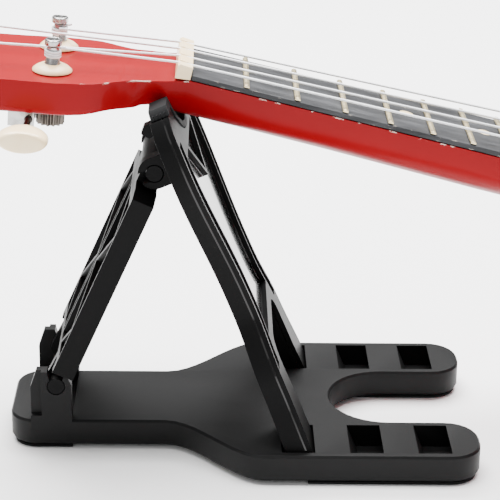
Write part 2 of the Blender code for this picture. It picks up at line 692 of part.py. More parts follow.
def build_nut_and_saddle():
    """Slotted nut, and the saddle standing on the bridge."""
    nut = [(NUT_START, NUT_FOOT), (-GAP, NECK_TOP + GAP), (-GAP, NUT_HEIGHT - 0.0004),
           (NUT_START + 0.0008, NUT_HEIGHT), (NUT_START, NUT_HEIGHT - 0.0008)]
    piece = side_plate("nut", nut, -BOARD_HALF_NUT - 0.0002, BOARD_HALF_NUT + 0.0002, UKE,
                       "cream_plastic")
    for i, y in enumerate(STRING_SPREAD_NUT):
        floor = STRING_AT_NUT - STRING_RADIUS - GAP
        slot = box(f"tool_nut_slot_{i}", (NUT_START - 0.001, 0.001),
                   (y - STRING_RADIUS - GAP, y + STRING_RADIUS + GAP), (floor, 0.005), UKE)
        cut(piece, slot)
    top = STRING_AT_SADDLE - STRING_RADIUS - GAP
    saddle = [(SCALE_LENGTH - 0.0013, BRIDGE_TOP + GAP), (SCALE_LENGTH + 0.0013, BRIDGE_TOP + GAP),
              (SCALE_LENGTH + 0.0013, top - 0.0006), (SCALE_LENGTH, top),
              (SCALE_LENGTH - 0.0013, top - 0.0006)]
    side_plate("saddle", saddle, -0.0260, 0.0260, UKE, "cream_plastic")


def build_bridge():
    """Tie bridge glued on the soundboard."""
    start, end = SCALE_LENGTH - 0.0085, SCALE_LENGTH + 0.0125
    half = BRIDGE_HALF_LENGTH
    outline = [(start, -0.030), (start + 0.004, -half), (end - 0.006, -half), (end, -0.030),
               (end, 0.030), (end - 0.006, half), (start + 0.004, half), (start, 0.030)]
    slab("bridge", outline, NECK_TOP + GAP, BRIDGE_TOP, UKE, "dark_board")


def build_strings():
    """Four nylon strings, held from the bridge to the posts."""
    to_uke = UKE.inverted() @ HEAD
    reach = TUNER_Y - POST_WAIST - STRING_RADIUS - GAP
    posts = ((0, -1), (1, -1), (1, 1), (0, 1))
    for i, (row, side) in enumerate(posts):
        near_nut, near_saddle = STRING_SPREAD_NUT[i], STRING_SPREAD_SADDLE[i]
        post = to_uke @ Vector((TUNER_AT[row], side * reach, STRING_AT_POST))
        tie = BRIDGE_TOP + GAP + STRING_RADIUS
        points = [(SCALE_LENGTH + 0.009, near_saddle, tie), (SCALE_LENGTH, near_saddle, STRING_AT_SADDLE),
                  (NUT_START, near_nut, STRING_AT_NUT), tuple(post)]
        curve = bpy.data.curves.new(f"string_{i + 1}", "CURVE")
        curve.dimensions = "3D"
        curve.bevel_depth = STRING_RADIUS
        curve.bevel_resolution = 2
        curve.use_fill_caps = True
        spline = curve.splines.new("POLY")
        spline.points.add(len(points) - 1)
        for knot, point in zip(spline.points, points):
            knot.co = (*point, 1.0)
        curve.materials.append(make_material("nylon"))
        item = bpy.data.objects.new(f"string_{i + 1}", curve)
        item.matrix_world = UKE
        bpy.context.scene.collection.objects.link(item)


# --- Instrument: body -----------------------------------------------------

def body_outline():
    """Plan of the body, from the heel round both bouts to the tail."""
    half = [(BODY_JOINT, 0.0), (0.1740, 0.0260), (0.1870, 0.0500), (0.2120, 0.0625),
            (0.2400, 0.0590), (0.2660, 0.0540), (0.2950, 0.0610), (0.3280, 0.0790),
            (0.3600, 0.0850), (0.3880, 0.0690), (0.4010, 0.0380), (TAIL, 0.0)]
    return smooth_closed(mirrored(half), 4)


def ring_solid(name, outer, inner, low, high, where, material):
    """A closed band between two outlines with the same number of points."""
    rings = [[(x, y, low) for x, y in outer], [(x, y, high) for x, y in outer],
             [(x, y, high) for x, y in inner], [(x, y, low) for x, y in inner]]
    return loft(name, rings, where, material, closed=True)


def build_body():
    """Soundboard, sides, back and the two blocks inside."""
    outline = body_outline()
    top = NECK_TOP
    sides_top = top - PLATE_THICKNESS - GAP
    sides_bottom = BODY_BACK + PLATE_THICKNESS + GAP
    board = slab("soundboard", outline, top - PLATE_THICKNESS, top, UKE, "red_lacquer")
    hole = [(0.0, -0.01), (SOUND_HOLE_RADIUS, -0.01), (SOUND_HOLE_RADIUS, 0.01), (0.0, 0.01)]
    where = UKE @ Matrix.Translation((SOUND_HOLE_AT, 0.0, 0.0))
    cut(board, turned("tool_sound_hole", hole, where, steps=32))
    rim = inset(outline, 0.0006)
    ring_solid("body_sides", rim, inset(rim, SIDE_THICKNESS), sides_bottom, sides_top, UKE,
               "red_lacquer")
    slab("body_back", outline, BODY_BACK, BODY_BACK + PLATE_THICKNESS, UKE, "red_lacquer")
    block = (sides_bottom, sides_top)
    box("neck_block", (0.1765, 0.1920), (-0.0210, 0.0210), block, UKE, "bare_wood")
    box("tail_block", (0.3900, 0.3985), (-0.0200, 0.0200), block, UKE, "bare_wood")


# --- Instrument: tuners ---------------------------------------------------

def gear_outline(tip, root):
    """Straight-sided teeth, four points to a tooth."""
    points = []
    for i in range(GEAR_TEETH * 4):
        angle = math.tau * (i + 0.5) / (GEAR_TEETH * 4)
        radius = tip if i % 4 in (0, 1) else root
        points.append((radius * math.cos(angle), radius * math.sin(angle)))
    return points


def build_post(tag, where):
    """Bushing on the headstock's face, string post, and gear on the post's foot."""
    bushing = [(0.0029, -0.0050), (0.0040, -0.0050), (0.0040, GAP), (0.0070, GAP),
               (0.0070, 0.0008), (0.0058, 0.0018), (0.0042, 0.0026), (0.0029, 0.0029)]
    turned(f"bushing_{tag}", bushing, where, "cream_plastic")
    foot = -GEAR_BOTTOM - 0.0002
    post = [(0.0, foot), (POST_FOOT, foot), (POST_FOOT, -0.0120), (POST_RADIUS, -0.0120),
            (POST_RADIUS, 0.0042), (POST_WAIST, 0.0050), (POST_WAIST, 0.0089),
            (POST_COLLAR, 0.0095), (POST_COLLAR, POST_TOP - 0.0004),
            (POST_COLLAR - 0.0004, POST_TOP), (POST_DISH, POST_TOP),
            (POST_DISH - 0.0005, POST_TOP - 0.0012), (0.0, POST_TOP - 0.0012)]
    turned(f"post_{tag}", post, where, "nickel")
    bore = [(x, y) for x, y in arc(0, 0, POST_FOOT + GAP, 360 / 112, 360 + 360 / 112, 56)][:-1]
    ring_solid(f"gear_{tag}", gear_outline(GEAR_TIP, GEAR_ROOT), bore, -GEAR_BOTTOM, -GEAR_TOP,
               where, "nickel")


def build_frame_plate(tag, where):
    """Plate under the headstock with two lugs for the worm shaft."""
    top, bottom = -HEAD_THICKNESS - GAP, -GEAR_TOP + GAP
    half = 0.0056
    plate = box(f"frame_plate_{tag}", (-PLATE_REAR, PLATE_FRONT), (-half, half), (bottom, top), where, "nickel")
    hub = [(0.0, -0.03), (POST_FOOT + GAP, -0.03), (POST_FOOT + GAP, 0.0), (0.0, 0.0)]
    turn = Matrix.Translation((-WORM_BACK, 0.0, -WORM_DROP)) @ Matrix.Rotation(math.pi / 2, 4, "X")
    bore = [(0.0, -0.01), (SHAFT_RADIUS + GAP, -0.01), (SHAFT_RADIUS + GAP, 0.01), (0.0, 0.01)]
    for end in (-1, 1):
        lug = box(f"tool_lug_{tag}_{end}", (-PLATE_REAR + 0.0002, -WORM_BACK + 0.0020),
                  (end * (half - 0.0011), end * half), (-WORM_DROP - 0.0026, top - 0.0002), where)
        join(plate, lug)
    cut(plate, turned(f"tool_hub_{tag}", hub, where, steps=16))
    cut(plate, turned(f"tool_shaft_bore_{tag}", bore, where @ turn, steps=16))


def build_shaft_and_button(tag, side, where):
    """Worm shaft across the headstock and its button."""
    turn = Matrix.Translation((-WORM_BACK, 0.0, -WORM_DROP)) @ Matrix.Rotation(-side * math.pi / 2, 4, "X")
    worm_end = 0.0040
    shaft = [(0.0, -0.0066), (SHAFT_RADIUS, -0.0066), (SHAFT_RADIUS, -worm_end),
             (WORM_RADIUS, -worm_end), (WORM_RADIUS, worm_end), (SHAFT_RADIUS, worm_end),
             (SHAFT_RADIUS, SHAFT_END - TUNER_Y), (0.0, SHAFT_END - TUNER_Y)]
    turned(f"worm_shaft_{tag}", shaft, where @ turn, "nickel", steps=16)
    start = SHAFT_END - TUNER_Y + GAP
    sizes = ((0.0, 0.34), (0.04, 0.55), (0.16, 0.82), (0.36, 0.97), (0.60, 1.0), (0.85, 0.97),
             (0.96, 0.88), (1.0, 0.72))
    rings = []
    for along, scale in sizes:
        ring = []
        for i in range(24):
            angle = math.tau * i / 24
            ring.append((scale * BUTTON_WIDTH / 2 * math.cos(angle),
                         scale ** 0.5 * BUTTON_THICKNESS / 2 * math.sin(angle),
                         start + along * BUTTON_LENGTH))
        rings.append(ring)
    loft(f"button_{tag}", rings, where @ turn, "cream_plastic")


def build_tuners():
    """Two open-geared tuners on each side."""
    for row, at in enumerate(TUNER_AT):
        for side, name in ((-1, "near"), (1, "far")):
            tag = f"{name}_{row + 1}"
            where = HEAD @ Matrix.Translation((at, side * TUNER_Y, 0.0))
            build_post(tag, where)
            build_frame_plate(tag, where)
            build_shaft_and_button(tag, side, where)


def main():
    clear_scene()
    build_base()
    build_foot_pads()
    build_strut()
    build_panel()
    build_cradle()
    build_neck()
    build_fretboard()
    build_nut_and_saddle()
    build_bridge()
    build_strings()
    build_body()
    build_tuners()


main()
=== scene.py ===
import json
import math

import bmesh
import bpy
from bpy.props import FloatProperty, FloatVectorProperty, IntProperty, PointerProperty
from mathutils import Matrix, Vector

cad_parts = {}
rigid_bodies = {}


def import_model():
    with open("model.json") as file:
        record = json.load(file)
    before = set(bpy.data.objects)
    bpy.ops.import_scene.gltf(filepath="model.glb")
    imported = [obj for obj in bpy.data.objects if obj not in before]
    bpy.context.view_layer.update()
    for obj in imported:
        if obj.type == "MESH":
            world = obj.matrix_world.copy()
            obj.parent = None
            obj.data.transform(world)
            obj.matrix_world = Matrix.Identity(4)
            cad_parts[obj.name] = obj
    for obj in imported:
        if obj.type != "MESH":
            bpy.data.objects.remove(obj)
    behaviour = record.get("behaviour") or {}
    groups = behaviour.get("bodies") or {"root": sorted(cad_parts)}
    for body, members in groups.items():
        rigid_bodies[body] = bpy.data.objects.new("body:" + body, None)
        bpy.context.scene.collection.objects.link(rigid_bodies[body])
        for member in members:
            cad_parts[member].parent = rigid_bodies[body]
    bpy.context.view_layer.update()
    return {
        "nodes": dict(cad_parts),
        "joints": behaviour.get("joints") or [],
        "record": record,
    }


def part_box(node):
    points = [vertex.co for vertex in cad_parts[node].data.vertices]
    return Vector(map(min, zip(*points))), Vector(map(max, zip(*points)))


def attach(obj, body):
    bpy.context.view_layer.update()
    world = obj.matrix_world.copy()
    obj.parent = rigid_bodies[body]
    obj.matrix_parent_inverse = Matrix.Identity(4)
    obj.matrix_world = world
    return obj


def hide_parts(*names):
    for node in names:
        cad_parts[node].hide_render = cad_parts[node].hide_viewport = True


for _leftover in list(bpy.data.objects):
    bpy.data.objects.remove(_leftover)
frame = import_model()

bl_info = {
    "name": "Small guitar on a neck stand",
    "version": (1, 0, 0),
    "blender": (4, 5, 0),
    "location": "3D View > Sidebar > Neck Stand",
    "description": "Finishes a small four-string guitar resting on a folding neck stand",
    "category": "Object",
}

TAGS = ("near_1", "far_1", "near_2", "far_2")
BODY_OF = {node: body for body, nodes in frame["record"]["behaviour"]["bodies"].items()
           for node in nodes}
JOINTS = {joint["name"]: joint for joint in frame["joints"]}
FRET_MIDDLE = 0.0008         # a fret's middle above the board's face
SOUNDBOARD_DROP = 0.0021     # the soundboard's face below the board's face
PANEL_LEAN = math.radians(67.0)
WEB_FACE = 0.0126            # the panel's web out of its hinge's plane
WEB_BAND = 0.0003            # depth on each side of the web that is still polished
RIDGE_REACH = (-0.0230, -0.0224, -0.0218)    # a cradle ridge's points along the leg
RIDGE_FIRST = 0.0098         # the first ridge out of the hinge's plane
RIDGE_SPAN = 0.0042          # from the first ridge to the last
RIDGE_RADIUS = 0.00032
POST_WAIST = 0.0021          # radius of a post where the string winds
STRING_AT_POST = 0.0078      # height above the headstock where a string meets its post
STRING_TAIL = ((0.0010, 0.0, 0.0083), (0.0025, 0.0002, 0.0084), (0.0034, 0.0006, 0.0085),
               (0.0040, 0.0013, 0.0085))     # a string's free end at its post
KNOT_PLACES = (-0.0210, -0.0070, 0.0070, 0.0210)
KNOT_BEHIND = 0.0065         # knots behind the string length's end
KNOT_HEIGHT = 0.00375        # knots above the board's frame
DOT_FRETS = (5, 7, 10)
HOLE_RINGS = ((0.0272, 0.0280), (0.0290, 0.0312), (0.0322, 0.0330))
THREAD_RADIUS = 0.00175      # a worm thread's middle line round its shaft
THREAD_TURNS = 6.0
THREAD_HALF = 0.0035         # half of the thread's length
THREAD_WIRE = 0.0003
SCREW_PLACE = (-0.0112, 0.0, -0.0138)        # a plate's screw from its post's joint
SCREW_PROFILE = ((0.0, 0.0), (0.0016, 0.0), (0.0015, 0.0005), (0.0009, 0.0009),
                 (0.0, 0.0010))
FLOOR_REACH = 6.0


# --- Settings -------------------------------------------------------------

class StandSettings(bpy.types.PropertyGroup):
    """Finish of the folding stand."""
    plastic: FloatVectorProperty(name="Plastic", description="Colour of the moulded plastic",
                                 subtype="COLOR", size=3, default=(0.0027, 0.0027, 0.0028))
    rubber: FloatVectorProperty(name="Rubber", description="Colour of the cradle and foot pads",
                                subtype="COLOR", size=3, default=(0.0040, 0.0042, 0.0045))
    edge: FloatProperty(name="Edge", description="Rounding of the moulded edges",
                        unit="LENGTH", default=0.0005, min=0.0, max=0.002)
    ridges: IntProperty(name="Ridges", description="Fine ridges on each side of the cradle",
                        default=4, min=0, max=8)


class InstrumentSettings(bpy.types.PropertyGroup):
    """Finish of the instrument."""
    lacquer: FloatVectorProperty(name="Lacquer", description="Colour of the lacquered wood",
                                 subtype="COLOR", size=3, default=(0.22, 0.0003, 0.0030))
    chip: FloatVectorProperty(name="Chips", description="Colour under the worn edges",
                              subtype="COLOR", size=3, default=(0.86, 0.76, 0.66))
    board: FloatVectorProperty(name="Board", description="Colour of the fretboard and bridge",
                               subtype="COLOR", size=3, default=(0.045, 0.046, 0.049))
    cream: FloatVectorProperty(name="Cream", description="Colour of the nut and tuner buttons",
                               subtype="COLOR", size=3, default=(1.0, 0.80, 0.50))
    dot: FloatProperty(name="Dot", description="Radius of a position dot",
                       unit="LENGTH", default=0.0026, min=0.001, max=0.005)
    string_radius: FloatProperty(name="String", description="Radius of a string",
                                 unit="LENGTH", default=0.00045, min=0.0002, max=0.001)
    turns: FloatProperty(name="Windings", description="Turns of string on each post",
                         default=3.0, min=1.0, max=6.0)


class StageSettings(bpy.types.PropertyGroup):
    """Camera and light."""
    lens: FloatProperty(name="Lens", description="Focal length in millimetres", default=134.8)
    shift: FloatProperty(name="Shift", description="Sideways shift of the lens", default=0.12)
    tilt: FloatProperty(name="Tilt", description="Downward tilt of the camera",
                        subtype="ANGLE", default=math.radians(22.013))
    turn: FloatProperty(name="Turn", description="Turn of the camera about the vertical",
                        subtype="ANGLE", default=math.radians(0.7635))
    offset: FloatVectorProperty(name="Camera", description="Camera from the stand's rear pin",
                                subtype="TRANSLATION", size=3, default=(0.05755, -0.63982, 0.30446))
    sky: FloatProperty(name="Sky", description="Strength of the surrounding light", default=0.62)
    top: FloatProperty(name="Top light", description="Power of the overhead light in watts",
                       default=170.0)
    fill: FloatProperty(name="Fill light", description="Power of the front light in watts",
                        default=3.0)


# --- Shader maths ---------------------------------------------------------

class Wire:
    """A value in a material's nodes that Python's operators work on."""

    def __init__(self, paint, output):
        self.paint = paint
        self.output = output

    def math(self, operation, *values):
        """One Math node over values and numbers."""
        return self.paint.node("ShaderNodeMath", {"operation": operation}, dict(enumerate(values)))

    def __add__(self, other):
        return self.math("ADD", self, other)

    __radd__ = __add__

    def __sub__(self, other):
        return self.math("SUBTRACT", self, other)

    def __rsub__(self, other):
        return self.math("SUBTRACT", other, self)

    def __mul__(self, other):
        return self.math("MULTIPLY", self, other)

    __rmul__ = __mul__

    def __gt__(self, other):
        return self.math("GREATER_THAN", self, other)

    def __lt__(self, other):
        return self.math("LESS_THAN", self, other)


class Paint:
    """One material and the nodes that colour it."""

    def __init__(self, name, roughness, metallic=0.0, specular=0.5, coat=0.0):
        self.material = bpy.data.materials.new(name)
        self.material.use_nodes = True
        self.tree = self.material.node_tree
        self.surface = self.tree.nodes["Principled BSDF"].inputs
        self.surface["Roughness"].default_value = roughness
        self.surface["Metallic"].default_value = metallic
        self.surface["Specular IOR Level"].default_value = specular
        self.surface["Coat Weight"].default_value = coat
        self.surface["Coat Roughness"].default_value = 0.04
        self.place = self.node("ShaderNodeTexCoord", {}, {}, "Object")

    def node(self, kind, settings, values, output=0):
        """Adds a node, sets it up, then feeds its sockets."""
        made = self.tree.nodes.new(kind)
        for key, value in settings.items():
            if key == "stops":
                for element, (position, level) in zip(made.color_ramp.elements, value):
                    element.position = position
                    element.color = (level, level, level, 1.0)
            else:
                setattr(made, key, value)
        for key, value in values.items():
            self.feed(made.inputs[key], value)
        return Wire(self, made.outputs[output])

    def feed(self, socket, value):
        """Links a wire to a socket, or sets a plain value on it."""
        if isinstance(value, Wire):
            self.tree.links.new(value.output, socket)
        else:
            socket.default_value = value

    def noise(self, scale, detail=3.0, stretch=(1.0, 1.0, 1.0)):
        """Even noise over the piece, in metres."""
        where = self.node("ShaderNodeMapping", {}, {"Vector": self.place, "Scale": stretch})
        return self.node("ShaderNodeTexNoise", {}, {"Vector": where, "Scale": scale,
                                                    "Detail": detail}, "Fac")

    def cut(self, value, low, high):
        """A soft step of a value between two levels."""
        return self.node("ShaderNodeValToRGB", {"stops": ((low, 0.0), (high, 1.0))}, {"Fac": value})

    def mix(self, mask, first, second):
        """Blends two colours by a mask."""
        first, second = ((*c, 1.0) if isinstance(c, (tuple, list)) else c for c in (first, second))
        return self.node("ShaderNodeMix", {"data_type": "RGBA"}, {0: mask, 6: first, 7: second}, 2)

    def rim(self, radius):
        """High near sharp edges, from the rounded normal leaving the true one."""
        soft = self.node("ShaderNodeBevel", {"samples": 4}, {"Radius": radius}, "Normal")
        true = self.node("ShaderNodeNewGeometry", {}, {}, "Normal")
        return 1.0 - self.node("ShaderNodeVectorMath", {"operation": "DOT_PRODUCT"},
                               {0: soft, 1: true}, "Value")

    def along(self, direction, point):
        """Distance of the surface from a point, along a direction."""
        reach = self.node("ShaderNodeVectorMath", {"operation": "DOT_PRODUCT"},
                          {0: self.place, 1: tuple(direction)}, "Value")
        return reach - Vector(direction).dot(Vector(point))

    def bump(self, height, strength, distance=0.0001):
        """Feeds a height to the surface's normal."""
        self.feed(self.surface["Normal"], self.node(
            "ShaderNodeBump", {}, {"Height": height, "Strength": strength, "Distance": distance},
            "Normal"))


def shade(colour, factor):
    """A colour made lighter or darker."""
    return tuple(min(1.0, channel * factor) for channel in colour)


def moulded_plastic(name, colour, specular, web=None):
    """Fine-textured black plastic; a recessed web between two depths is left polished."""
    paint = Paint(name, roughness=0.4, specular=specular)
    grain, cloud = paint.noise(2600.0, 2.0), paint.noise(42.0, 3.0)
    paint.feed(paint.surface["Base Color"],
               paint.mix(cloud, shade(colour, 0.8), shade(colour, 1.3)))
    rough = 0.40 + 0.10 * cloud + 0.05 * grain
    if web:
        normal, point, low, high = web
        depth = paint.along(normal, point)
        polished = (depth > low) * (depth < high)
        rough = rough - polished * 0.30
        grain = grain * (1.0 - polished * 0.9)
        paint.feed(paint.surface["Coat Weight"], polished * 0.55)
    paint.feed(paint.surface["Roughness"], rough)
    paint.bump(grain, 0.25)
    return paint.material


def soft_rubber(colour):
    """Matt rubber with a dusty bloom."""
    paint = Paint("cradle_rubber", roughness=0.7, specular=0.12)
    dust = paint.noise(160.0, 5.0)
    paint.feed(paint.surface["Base Color"], paint.mix(dust, shade(colour, 0.8), shade(colour, 2.0)))
    paint.feed(paint.surface["Roughness"], 0.62 + 0.2 * dust)
    paint.bump(paint.noise(1500.0, 3.0), 0.3)
    return paint.material


def red_lacquer(colour, chip):
    """Glossy red lacquer, chipped here and there on its sharp edges."""
    paint = Paint("red_lacquer", roughness=0.3, specular=0.07, coat=0.04)
    cloud = paint.noise(26.0, 4.0)
    tint = paint.mix(cloud, shade(colour, 0.86), shade(colour, 1.12))
    flaked = (paint.rim(0.0009) > 0.05) * (paint.noise(230.0, 5.0) > 0.60)
    paint.feed(paint.surface["Base Color"], paint.mix(flaked, tint, chip))
    paint.feed(paint.surface["Roughness"], 0.30 + 0.08 * cloud + 0.3 * flaked)
    paint.feed(paint.surface["Coat Weight"], 0.04 - 0.04 * flaked)
    paint.bump(paint.noise(90.0, 2.0) - 0.8 * flaked, 0.10)
    return paint.material


def dark_board(colour, chip):
    """Stained wood with a long grain and worn edges."""
    paint = Paint("dark_board", roughness=0.35, specular=0.10)
    grain = paint.noise(240.0, 6.0, (0.12, 1.0, 1.0))
    tint = paint.mix(paint.cut(grain, 0.30, 0.72), shade(colour, 0.45), shade(colour, 1.35))
    worn = (paint.rim(0.0007) > 0.06) * (paint.noise(330.0, 4.0, (0.6, 1.0, 1.0)) > 0.63)
    paint.feed(paint.surface["Base Color"], paint.mix(worn, tint, shade(chip, 0.62)))
    paint.feed(paint.surface["Roughness"], 0.30 + 0.22 * grain + 0.2 * worn)
    paint.bump(grain - 0.6 * worn, 0.35)
    return paint.material


def cream_plastic(colour):
    """Slightly yellowed cream plastic."""
    paint = Paint("cream_plastic", roughness=0.3, coat=0.2)
    age = paint.noise(75.0, 4.0)
    paint.feed(paint.surface["Base Color"], paint.mix(
        paint.cut(age, 0.4, 0.75), colour, (colour[0] * 0.95, colour[1] * 0.86, colour[2] * 0.68)))
    paint.feed(paint.surface["Roughness"], 0.24 + 0.16 * age)
    paint.bump(paint.noise(700.0, 3.0), 0.08)
    return paint.material


def plated_metal(name, colour, dull, roughness):
    """Plated metal with smears and dull spots."""
    paint = Paint(name, roughness=roughness, metallic=1.0)
    smear, spot = paint.noise(260.0, 5.0), paint.noise(900.0, 3.0)
    paint.feed(paint.surface["Base Color"], paint.mix(paint.cut(smear, 0.45, 0.8), colour, dull))
    paint.feed(paint.surface["Roughness"], roughness + 0.16 * smear)
    paint.bump(spot, 0.12)
    return paint.material


def clear_nylon():
    """Clear white nylon string."""
    paint = Paint("white_nylon", roughness=0.2, coat=0.3)
    cloud = paint.noise(300.0, 2.0)
    paint.feed(paint.surface["Base Color"],
               paint.mix(cloud, (0.80, 0.81, 0.84), (0.94, 0.94, 0.95)))
    paint.feed(paint.surface["Roughness"], 0.18 + 0.1 * cloud)
    return paint.material


def plain_wood():
    """Unfinished wood inside the body."""
    paint = Paint("plain_wood", roughness=0.65)
    grain = paint.noise(120.0, 6.0, (0.15, 1.0, 1.0))
    paint.feed(paint.surface["Base Color"],
               paint.mix(grain, (0.36, 0.21, 0.10), (0.60, 0.41, 0.23)))
    paint.bump(grain, 0.3)
    return paint.material


# --- Shapes ---------------------------------------------------------------

def add_piece(name, data, body):
    """Links a new piece and lets it ride on a body."""
    piece = bpy.data.objects.new(name, data)
    bpy.context.scene.collection.objects.link(piece)
    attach(piece, body)
    return piece


def finish_node(node, material, edge=0.0, segments=2, smooth=35.0, subdivide=0):
    """A welded copy of a frame node with softened edges, shown in its place."""
    source = frame["nodes"][node]
    shape = bmesh.new()
    shape.from_mesh(source.data)
    bmesh.ops.remove_doubles(shape, verts=shape.verts[:], dist=0.000001)
    if not subdivide:
        bmesh.ops.dissolve_limit(shape, angle_limit=math.radians(0.4), verts=shape.verts[:],
                                 edges=shape.edges[:])
    if not shape.faces:
        raise RuntimeError(f"{node} has no faces")
    mesh = bpy.data.meshes.new(f"{node}_finish")
    shape.to_mesh(mesh)
    shape.free()
    mesh.materials.clear()
    mesh.materials.append(material)
    mesh.shade_smooth()
    mesh.set_sharp_from_angle(angle=math.radians(smooth))
    piece = add_piece(f"{node}_finish", mesh, BODY_OF[node])
    if edge:
        bevel = piece.modifiers.new("softened edge", "BEVEL")
        bevel.width = edge
        bevel.segments = segments
        bevel.limit_method = "ANGLE"
        bevel.angle_limit = math.radians(smooth)
        bevel.harden_normals = True
    if subdivide:
        rounder = piece.modifiers.new("rounder", "SUBSURF")
        rounder.levels = rounder.render_levels = subdivide
    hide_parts(node)
    return piece


def wire(name, points, radius, material, body):
    """A round wire along points."""
    curve = bpy.data.curves.new(name, "CURVE")
    curve.dimensions = "3D"
    curve.bevel_depth = radius
    curve.bevel_resolution = 3
    curve.use_fill_caps = True
    spline = curve.splines.new("POLY")
    spline.points.add(len(points) - 1)
    for knot, point in zip(spline.points, points):
        knot.co = (*point, 1.0)
    spline.use_smooth = True
    curve.materials.append(material)
    return add_piece(name, curve, body)


def coil_points(centre, axis, radius, turns, low, high, start=0.0, steps=24):
    """Points of a helix round an axis."""
    turned = Vector((0.0, 0.0, 1.0)).rotation_difference(Vector(axis))
    count = int(turns * steps)
    points = []
    for i in range(count + 1):
        angle = start + math.tau * i / steps
        height = low + (high - low) * i / count
        points.append(Vector(centre) + turned @ Vector(
            (radius * math.cos(angle), radius * math.sin(angle), height)))
    return points


def lathe(name, profile, where, material, body, steps=32, smooth=40.0):
    """A profile of (radius, height) points turned about local Z."""
    shape = bmesh.new()
    rows = []
    for radius, height in profile:
        if radius < 0.000001:
            rows.append([shape.verts.new(where @ Vector((0.0, 0.0, height)))])
        else:
            rows.append([shape.verts.new(where @ Vector((
                radius * math.cos(math.tau * i / steps), radius * math.sin(math.tau * i / steps),
                height))) for i in range(steps)])
    for lower, upper in zip(rows, rows[1:]):
        for i in range(steps):
            j = (i + 1) % steps
            corners = [lower[i % len(lower)], lower[j % len(lower)],
                       upper[j % len(upper)], upper[i % len(upper)]]
            shape.faces.new(list(dict.fromkeys(corners)))
    if len(rows[0]) > 1 and len(rows[-1]) > 1 and profile[0] == profile[-1]:
        bmesh.ops.remove_doubles(shape, verts=shape.verts[:], dist=0.0000001)
    bmesh.ops.recalc_face_normals(shape, faces=shape.faces[:])
    mesh = bpy.data.meshes.new(name)
    shape.to_mesh(mesh)
    shape.free()
    mesh.materials.append(material)
    mesh.shade_smooth()
    mesh.set_sharp_from_angle(angle=math.radians(smooth))
    return add_piece(name, mesh, body)


def middle(node):
    """The middle of a frame node's box."""
    low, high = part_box(node)
    return (low + high) / 2


def board_axes():
    """Frame along the strings: origin under the nut's front, X along, Z out."""
    first, last = middle("fret_01"), middle("fret_12")
    along = (last - first).normalized()
    out = Vector((-along.z, 0.0, along.x))
    scale = (last - first).length / (0.5 - (1 - 2 ** (-1 / 12)))
    origin = last - out * FRET_MIDDLE - along * scale / 2
    axes = Matrix((along, Vector((0.0, 1.0, 0.0)), out)).transposed().to_4x4()
    return Matrix.Translation(origin) @ axes, scale


def joint_axes(name):
    """A joint's place, with Z along its axis."""
    joint = JOINTS[name]
    turned = Vector((0.0, 0.0, 1.0)).rotation_difference(Vector(joint["axis"]))
    return Matrix.Translation(Vector(joint["pos_m"])) @ turned.to_matrix().to_4x4()


def panel_axes():
    """Panel's frame: X down the leg, Y across, Z out of its outer face."""
    down = Vector((math.cos(PANEL_LEAN), 0.0, -math.sin(PANEL_LEAN)))
    out = Vector((math.sin(PANEL_LEAN), 0.0, math.cos(PANEL_LEAN)))
    axes = Matrix((down, Vector((0.0, 1.0, 0.0)), out)).transposed().to_4x4()
    return Matrix.Translation(Vector(JOINTS["panel_fold"]["pos_m"])) @ axes


# --- Pieces ---------------------------------------------------------------

class NECKSTAND_OT_plastic(bpy.types.Operator):
    """Finish the moulded base, strut and panel"""
    bl_idname = "neckstand.plastic"
    bl_label = "Moulded stand"

    def execute(self, context):
        settings = context.scene.neckstand_stand
        colour = tuple(settings.plastic)
        plain = moulded_plastic("moulded_plastic", colour, 0.13)
        web = (panel_axes().to_3x3() @ Vector((0.0, 0.0, 1.0)), JOINTS["panel_fold"]["pos_m"],
               WEB_FACE - WEB_BAND, WEB_FACE + WEB_BAND)
        finish_node("stand_base", plain, settings.edge)
        finish_node("strut_frame", moulded_plastic("strut_plastic", colour, 0.06),
                    settings.edge * 0.5)
        finish_node("panel_frame", moulded_plastic("panel_plastic", colour, 0.06, web),
                    settings.edge * 0.5)
        return {"FINISHED"}


class NECKSTAND_OT_rubber(bpy.types.Operator):
    """Finish the foot pads and the ridged neck cradle"""
    bl_idname = "neckstand.rubber"
    bl_label = "Rubber pads"

    def execute(self, context):
        settings = context.scene.neckstand_stand
        rubber = soft_rubber(tuple(settings.rubber))
        for node in ("base_pad_rear", "base_pad_near_arm", "base_pad_far_arm"):
            finish_node(node, rubber, 0.0002)
        finish_node("neck_cradle_pad", rubber, 0.0005, segments=3)
        axes = panel_axes()
        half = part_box("neck_cradle_pad")[1].y
        for side, name in ((-1, "near"), (1, "far")):
            for i in range(settings.ridges):
                out = RIDGE_FIRST + RIDGE_SPAN * i / max(1, settings.ridges - 1)
                points = [axes @ Vector((down, side * (half - 0.0001), out))
                          for down in RIDGE_REACH]
                wire(f"cradle_ridge_{name}_{i + 1}", points, RIDGE_RADIUS, rubber, "panel")
        return {"FINISHED"}


class NECKSTAND_OT_neck(bpy.types.Operator):
    """Finish the lacquered neck and headstock"""
    bl_idname = "neckstand.neck"
    bl_label = "Neck"

    def execute(self, context):
        settings = context.scene.neckstand_instrument
        lacquer = red_lacquer(tuple(settings.lacquer), tuple(settings.chip))
        finish_node("neck", lacquer, 0.0006, segments=3, smooth=42.0)
        for node in ("soundboard", "body_sides", "body_back"):
            finish_node(node, lacquer, 0.0004, smooth=40.0)
        wood = plain_wood()
        for node in ("neck_block", "tail_block"):
            finish_node(node, wood, 0.0004)
        return {"FINISHED"}


